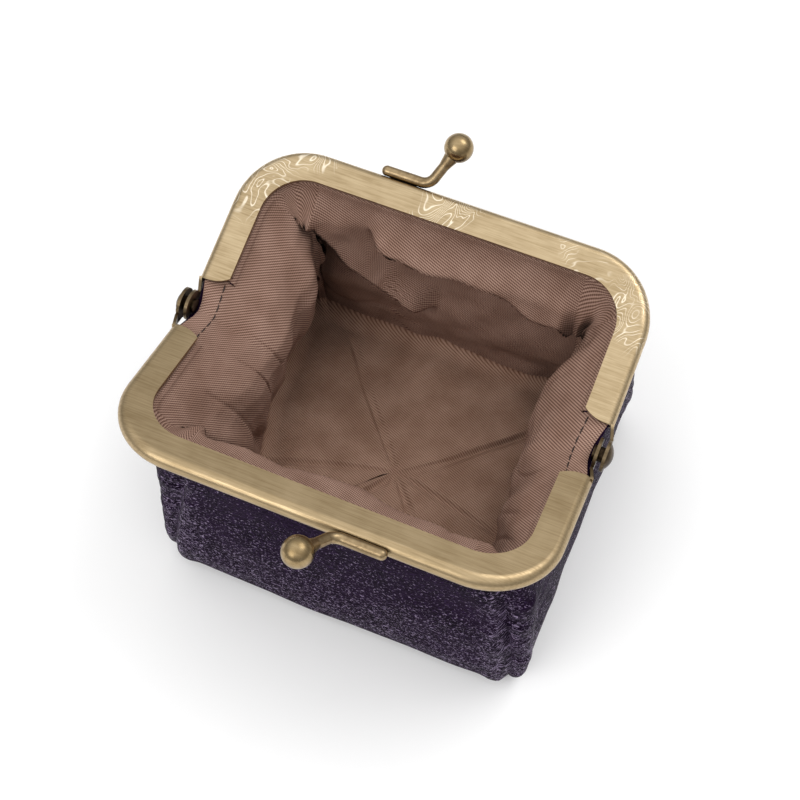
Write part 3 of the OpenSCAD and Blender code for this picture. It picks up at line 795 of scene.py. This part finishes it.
def twill(name, lean, tones=("#593F34", "#937364", "#B89888")):
    """Light cotton twill, mauve brown: diagonal ribs 0.53 mm apart, drawn a little coarser
    than real ones so that they show, each a row of short raised threads. It is darker between
    the ribs, and painted shade darkens it where the folds are deep."""
    m = new_finish(name)
    chart = add(m, "UVMap", {"uv_map": "chart"})
    turned = add(m, "Mapping", {"Rotation": (0.0, 0.0, math.radians(lean))}, Vector=chart)
    ribs = add(m, "TexWave", {"wave_profile": "SIN", "Scale": waves(0.5325)}, Vector=turned)
    cross = add(m, "Mapping", {"Rotation": (0.0, 0.0, math.radians(64))}, Vector=turned)
    floats = add(m, "TexWave", {"wave_profile": "SIN", "Scale": waves(0.4134)}, Vector=cross)
    weave = add(m, "Mix", {**NUMBERS, 0: 0.3}, i2=ribs.outputs["Fac"], i3=floats.outputs["Fac"])
    colour = add(m, "ValToRGB", {"stops": list(zip((0.1, 0.5, 0.9), tones))}, i0=weave)
    slub = add(m, "TexNoise", {**FLAT, "Scale": cells(8.333), "Detail": 3.0}, Vector=turned)
    tone = add(m, "ValToRGB", {"stops": [(0.3, "#DAD2CC"), (0.7, "#FFFFFF")]}, i0=slub)
    mixed = add(m, "Mix", {**COLOURS, "blend_type": "MULTIPLY", 0: 0.8}, i6=colour, i7=tone)
    # Painted shade: darker in deep folds and recesses
    fold = add(m, "AmbientOcclusion", {"Distance": 20 * MM, "samples": 8})
    depth = add(m, "ValToRGB", {"stops": [(0.2, "#3A251B"), (0.62, "#FFFFFF")]},
                i0=fold.outputs["AO"])
    shaded_in_folds = add(m, "Mix", {**COLOURS, "blend_type": "MULTIPLY", 0: 0.75},
                 i6=mixed.outputs[2], i7=depth)
    bump = add(m, "Bump", {"Strength": 0.6, "Distance": 0.1 * MM}, Height=weave)
    shader = add(m, "BsdfPrincipled", {
        "Roughness": 0.85, "Specular IOR Level": 0.3, "Sheen Weight": 0.04,
        "Sheen Roughness": 0.4, "Sheen Tint": linear("#C9A28C")},
        Base_Color=shaded_in_folds.outputs[2], Normal=bump)
    add(m, "OutputMaterial", Surface=shader)
    return m


# The ribs slope the other way on each cut, as its cloth lies
twill_left = twill("lining twill, left", -35)
twill_right = twill("lining twill, right", -31)
twill_body = twill("lining twill, body", -68)
# The base's colours are lighter, a painted light for the floor inside
twill_base = twill("lining twill, base, rubbed lighter", -68, ("#80604F", "#AC8A76", "#C4A28E"))
for p in lining:
    name = p["name"]
    finish = twill_base if name == "lining_base" else twill_body
    finish = twill_left if "_left" in name else twill_right if "_right" in name else finish
    piece = sew(p, LINING_THICK, finish)


# Held edges. Leather and lining turn outwards into the channel of each half, and a paper cord
# laid on them fills what is left, pressed in with a blunt blade.

# Cross-sections in the channel: from and to across it, from and to below the plane of its faces
HELD_LEATHER = (-0.6, 4.4, -2.55, -1.85)
HELD_LINING = (-1.0, 4.3, -1.84, -1.5)
PACKING = (0.1, 2.6, -1.45, -0.9)
CHANNEL_START = 9.1


def edge_path():
    """Half a frame's U, from one arm round the bar to the other: u, v and direction across."""
    across, along = MOUTH_X - MOUTH_R, MOUTH_V - MOUTH_R
    points = [(MOUTH_X, v, 1.0, 0.0) for v in np.linspace(CHANNEL_START, along, 40)]
    for a in np.linspace(0, math.pi / 2, 15)[1:]:
        c, s = math.cos(a), math.sin(a)
        points.append((across + MOUTH_R * c, along + MOUTH_R * s, c, s))
    points += [(u, MOUTH_V, 0.0, 1.0) for u in np.linspace(across, 0, 60)[1:]]
    return points + [(-u, v, -nu, nv) for u, v, nu, nv in points[-2::-1]]


def on_frame(end, u, v, w):
    """Frame coordinates to the bag's, for the front (-1) or rear (1) half at rest."""
    c, s = math.cos(OPEN_TILT), math.sin(OPEN_TILT)
    return np.stack([u, end * (v * c - w * s), HINGE_Z + v * s + w * c], -1)


def slab(near, far, low, high):
    """Cross-section of a flat strip with rounded edges."""
    r, mid = (high - low) / 2, (low + high) / 2
    turn = np.linspace(-math.pi / 2, math.pi / 2, 7)
    outer = np.stack([far - r + r * np.cos(turn), mid + r * np.sin(turn)], 1)
    inner = np.stack([near + r - r * np.cos(turn), mid - r * np.sin(turn)], 1)
    return np.concatenate([outer, inner])


def held_strip(end, half, what, node, section, material):
    """A strip of the given cross-section, run round inside the channel of one half."""
    profile = slab(*section)
    rings = [
        on_frame(end, u + nu * profile[:, 0], v + nv * profile[:, 0], profile[:, 1])
        for u, v, nu, nv in edge_path()
    ]
    n, last = len(profile), len(rings) - 1
    faces = [
        [i * n + j, i * n + (j + 1) % n, (i + 1) * n + (j + 1) % n, (i + 1) * n + j]
        for i in range(last) for j in range(n)
    ]
    faces += [list(range(n))[::-1], [last * n + j for j in range(n)]]
    if end > 0:
        faces = [f[::-1] for f in faces]
    points = np.concatenate(rings)
    piece = new_piece(half + what, points, faces, material, half + node)
    count = np.arange(len(points))
    lay_chart(piece.data, np.stack([count // n * 1.0, count % n * 0.4], 1))
    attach(piece, half_of(end))


# Twisted kraft paper: dull brown, mottled by its fibres
paper = new_finish("brown paper cord")
fibres = add(paper, "TexNoise", {"Scale": cells(1.111), "Detail": 3.0})
paper_tone = add(paper, "ValToRGB", {"stops": [(0.3, "#4A3B2C"), (0.7, "#6B5842")]}, i0=fibres)
dull = add(paper, "BsdfPrincipled", {"Roughness": 0.9}, Base_Color=paper_tone)
add(paper, "OutputMaterial", Surface=dull)
for end, half in ENDS:
    for what, node, section, material, slot in (
        ("_leather_in_channel", "_leather_edge", HELD_LEATHER, leather_finish, "leather"),
        ("_lining_in_channel", "_lining_edge", HELD_LINING, twill_body, "lining_twill"),
        ("_cord_in_channel", "_packing_cord", PACKING, paper, "paper_cord"),
    ):
        held_strip(end, half, what, node, section, material)


# Topstitch. A dark row of short stitches holds leather and lining together beside the free edge
# of each gusset, over the hinge.

ROW_END = 7.7
STITCHES = 7
STITCH_SHARE = 0.8
THREAD_R = 0.15
STITCH_LIFT = 0.14
EDGE_SHARE = 0.3
TUBE = 8


def stitch_row(side):
    """Points and faces of the stitches of one side: short tubes that dip at both ends."""
    points, faces = [], []
    ends = np.linspace(-ROW_END, ROW_END, STITCHES + 1)
    for y0, y1 in zip(ends, ends[1:]):
        first = len(points)
        for k in range(TUBE + 1):
            t = k / TUBE
            y = (y0 + y1) / 2 + (t - 0.5) * (y1 - y0) * STITCH_SHARE
            x, z = lining_free_edge(side, np.array([y]), EDGE_SHARE)
            arch = math.sin(math.pi * t)
            lift = STITCH_LIFT * arch**0.5
            r = THREAD_R * (0.6 + 0.4 * arch)
            x, z = float(x[0]) - side * lift * 0.8, float(z[0]) + lift * 0.6
            for a in np.arange(TUBE) * (2 * math.pi / TUBE):
                points.append((x + r * math.cos(a), y, z + r * math.sin(a)))
        rings = [[first + k * TUBE + j for j in range(TUBE)] for k in range(TUBE + 1)]
        for ring, following in zip(rings, rings[1:]):
            faces += strip_between(ring + ring[:1], following + following[:1])
        faces += [rings[0][::-1], rings[-1]]
    return np.array(points), faces


# Twisted polyester thread: dark brown, lighter along each turn of the twist
thread = new_finish("dark brown thread")
twist = add(thread, "TexWave", {"Scale": waves(0.349), "Distortion": 1.0})
thread_tone = add(thread, "ValToRGB", {"stops": [(0.2, "#1E1512"), (0.8, "#3A2A25")]},
                  i0=twist.outputs["Fac"])
satin = add(thread, "BsdfPrincipled", {"Roughness": 0.6}, Base_Color=thread_tone)
add(thread, "OutputMaterial", Surface=satin)
for side, name in SIDES:
    points, faces = stitch_row(side)
    for end, half in ENDS:
        keep = [f for f in faces if end * points[f].mean(0)[1] > 0]
        used = sorted({i for f in keep for i in f})
        new = {i: k for k, i in enumerate(used)}
        keep = [[new[i] for i in f] for f in keep]
        piece = new_piece(
            name + "_stitches_" + half, points[used], keep, thread, name + "_topstitch")
        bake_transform(piece)


# Frame halves and clasp. Brass strip rolled into a C channel and bent into a U, brushed along its
# length and aged brown in its recesses, partly patina and partly painted shade under the rims;
# rods and balls of the same brass, soft-soldered on.

EAR_END = 6.3
SWIRLS_FROM = 19.0


def brushed_brass(name, light, mid, dark, along, rough, ears=False, wrinkled=False):
    """Antique brass brushed in one direction: fine streaks, warm highlights, brown recesses that
    are partly patina and partly painted shade. The hinge ears of a frame half are darker, a
    painted shade. Pale wandering lines on the rear half, at its corners and inner edge, are
    painted reflections."""
    m = new_finish(name)
    place = add(m, "TexCoord").outputs["Object"]
    where = add(m, "SeparateXYZ", i0=place)
    long = add(m, "Mapping", {"Scale": tuple(cells(size) for size in along)}, Vector=place)
    streaks = add(m, "TexNoise", {"Scale": 1.0, "Detail": 4.0, "Roughness": 0.6}, Vector=long)
    cloudy = add(m, "TexNoise", {"Scale": cells(7.692), "Detail": 3.0}, Vector=place)
    both = add(m, "Mix", {**NUMBERS, 0: 0.4}, i2=streaks, i3=cloudy)
    tone = add(m, "ValToRGB", {"stops": [(0.3, dark), (0.5, mid), (0.7, light)]}, i0=both)
    # Darker in recesses: partly patina, partly painted shade under the rims
    hollow = add(m, "AmbientOcclusion", {"Distance": 1.6 * MM, "samples": 6})
    patina_and_shade = add(m, "ValToRGB", {"stops": [(0.25, "#3A2A1A"), (0.8, "#FFFFFF")]},
               i0=hollow.outputs["AO"])
    colour = add(m, "Mix", {**COLOURS, "blend_type": "MULTIPLY", 0: 0.85}, i6=tone, i7=patina_and_shade)
    gloss = add(m, "MapRange", {
        "From Min": 0.3, "From Max": 0.7, "To Min": rough + 0.1, "To Max": rough - 0.06},
        Value=streaks)
    # Painted shade: the hinge ears are darker
    if ears:
        aside = add(m, "Math", ABSOLUTE, i0=where.outputs["Y"])
        ear_shade = add(m, "MapRange", {
            "From Min": (EAR_END - 0.5) * MM, "From Max": (EAR_END + 0.5) * MM,
            "To Min": 0.8, "To Max": 0.0}, Value=aside)
        colour = add(m, "Mix", {**COLOURS, 7: linear("#4A3D2C")}, i0=ear_shade, i6=colour.outputs[2])
    # Painted reflections: pale wandering lines towards the back, glossier where they lie
    if wrinkled:
        swirl = add(m, "TexNoise", {
            "Scale": cells(14.286), "Detail": 2.0, "Roughness": 0.45, "Distortion": 1.3},
            Vector=place)
        turns = add(m, "Math", {**MULTIPLY, 1: 21.0}, i0=swirl)
        wander = add(m, "Math", {"operation": "PINGPONG", 1: 0.5}, i0=turns)
        thin = add(m, "MapRange", {
            **SOFT_STEP, "From Max": 0.16, "To Min": 0.85, "To Max": 0.0}, Value=wander)
        blot = add(m, "TexNoise", {"Scale": cells(10.526), "Detail": 2.0}, Vector=place)
        some = add(m, "MapRange", {**SOFT_STEP, "From Min": 0.46, "From Max": 0.62}, Value=blot)
        far = add(m, "MapRange", {
            **SOFT_STEP, "From Min": SWIRLS_FROM * MM, "From Max": (SWIRLS_FROM + 7) * MM},
            Value=where.outputs["Y"])
        swirl_reflection = add(m, "Math", MULTIPLY, i0=thin, i1=some)
        swirl_reflection = add(m, "Math", MULTIPLY, i0=swirl_reflection, i1=far)
        colour = add(m, "Mix", {**COLOURS, 7: linear("#FFF3DC")}, i0=swirl_reflection, i6=colour.outputs[2])
        gloss = add(m, "Mix", {**NUMBERS, 3: 0.42}, i0=swirl_reflection, i2=gloss)
    bump = add(m, "Bump", {"Strength": 0.25, "Distance": 0.03 * MM}, Height=streaks)
    shader = add(m, "BsdfPrincipled", {"Metallic": 1.0}, Base_Color=colour.outputs[2],
                 Roughness=gloss, Normal=bump)
    add(m, "OutputMaterial", Surface=shader)
    return m


# Length of the brush marks along X, Y and Z
ON_FACES = (8.333, 0.3846, 0.3846)
EVEN_ROD = (1.429, 1.429, 1.429)
ON_BALL = (3.333, 1.111, 3.333)
ON_RIVET = (2.0, 2.0, 2.0)
ON_SOLDER = (1.111, 1.111, 1.111)
finishes = {
    "frame_brass": brushed_brass(
        "brushed antique brass", "#BDA784", "#AA9573", "#907B5A", ON_FACES, 0.36, ears=True),
    "clasp_brass": brushed_brass(
        "antique brass rod", "#B09B78", "#978263", "#715E42", EVEN_ROD, 0.32),
    "ball_brass": brushed_brass(
        "satin antique brass", "#B39E7A", "#9C8764", "#7C6848", ON_BALL, 0.27),
    "dark_brass": brushed_brass(
        "dark brass rivet", "#6B5D48", "#463A2C", "#2A2118", ON_RIVET, 0.34),
    "solder": brushed_brass(
        "tarnished solder", "#B5A88F", "#958A74", "#665D4C", ON_SOLDER, 0.45),
}
# Lighter copy for the rear half, a painted highlight, with painted swirl reflections
lit_rear_brass = brushed_brass(
    "brushed antique brass, wrinkled lacquer", "#CBB794", "#B8A381", "#9A8562", ON_FACES, 0.34,
    ears=True, wrinkled=True)
for node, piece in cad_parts.items():
    for place in piece.material_slots:
        wanted = place.material.name.split(".")[0] if place.material else ""
        if wanted in finishes:
            rear_face = node == "rear_channel" and wanted == "frame_brass"
            place.material = lit_rear_brass if rear_face else finishes[wanted]


# Floor, lights and camera. White sweep with a soft shadow, large soft lights, and the camera of
# the photograph, solved from the outline of the frame.

bpy.ops.mesh.primitive_plane_add(size=3, location=(0, 0, 0))
floor = bpy.context.object
floor.name = "floor"
# Uncoated white paper, so it shows shadows and no shine
sweep = new_finish("white paper sweep")
matt = add(sweep, "BsdfPrincipled", {
    "Base Color": linear("#FFFFFF"), "Roughness": 0.9, "Specular IOR Level": 0.0})
add(sweep, "OutputMaterial", Surface=matt)
floor.data.materials.append(sweep)

world = bpy.data.worlds.new("soft surround")
bpy.context.scene.world = world
world.use_nodes = True
world.node_tree.nodes.clear()
around = add(world, "TexCoord")
height = add(world, "SeparateXYZ", i0=around.outputs["Generated"])
glow = add(world, "ValToRGB", {
    "stops": [(0.0, "#7A7A7A"), (0.3, "#A8A8A8"), (0.52, "#C4C4C4"), (0.85, "#FFFFFF")]},
    i0=height.outputs["Z"])
soft = add(world, "Background", {"Strength": 1.25}, Color=glow)
white = add(world, "Background", {"Color": linear("#FFFFFF"), "Strength": 1.0})
ray = add(world, "LightPath")
seen = add(world, "MixShader", i0=ray.outputs["Is Camera Ray"], i1=soft, i2=white)
add(world, "OutputWorld", Surface=seen)

LIT_POINT = Vector((0, 0, 30)) * MM


def soft_light(name, place, size, power):
    """A large rectangular light aimed at the purse."""
    light = bpy.data.lights.new(name, "AREA")
    light.shape = "RECTANGLE"
    light.size, light.size_y = size
    light.energy = power
    lamp = bpy.data.objects.new(name, light)
    lamp.location = place
    lamp.rotation_euler = (LIT_POINT - Vector(place)).to_track_quat("-Z", "Y").to_euler()
    bpy.context.scene.collection.objects.link(lamp)


soft_light("key light", (0.3, 0.4, 0.75), (0.5, 0.4), 1.6)
soft_light("front light", (-0.25, -0.5, 0.5), (0.45, 0.35), 1.3)

VIEW_AZIMUTH = math.radians(22.61)
VIEW_ELEVATION = math.radians(62.15)
VIEW_DISTANCE = 306.8
VIEW_TARGET = Vector((4.35, -4.28, 50))
camera = bpy.data.cameras.new("camera")
camera.sensor_width = 36
camera.lens = 64.395
camera.clip_start = 0.01
view = bpy.data.objects.new("camera", camera)
back = Vector((
    math.sin(VIEW_AZIMUTH) * math.cos(VIEW_ELEVATION),
    -math.cos(VIEW_AZIMUTH) * math.cos(VIEW_ELEVATION), math.sin(VIEW_ELEVATION)))
view.location = (VIEW_TARGET + back * VIEW_DISTANCE) * MM
view.rotation_euler = back.to_track_quat("Z", "Y").to_euler()
bpy.context.scene.collection.objects.link(view)
bpy.context.scene.camera = view
bpy.context.scene.view_settings.view_transform = "Standard"
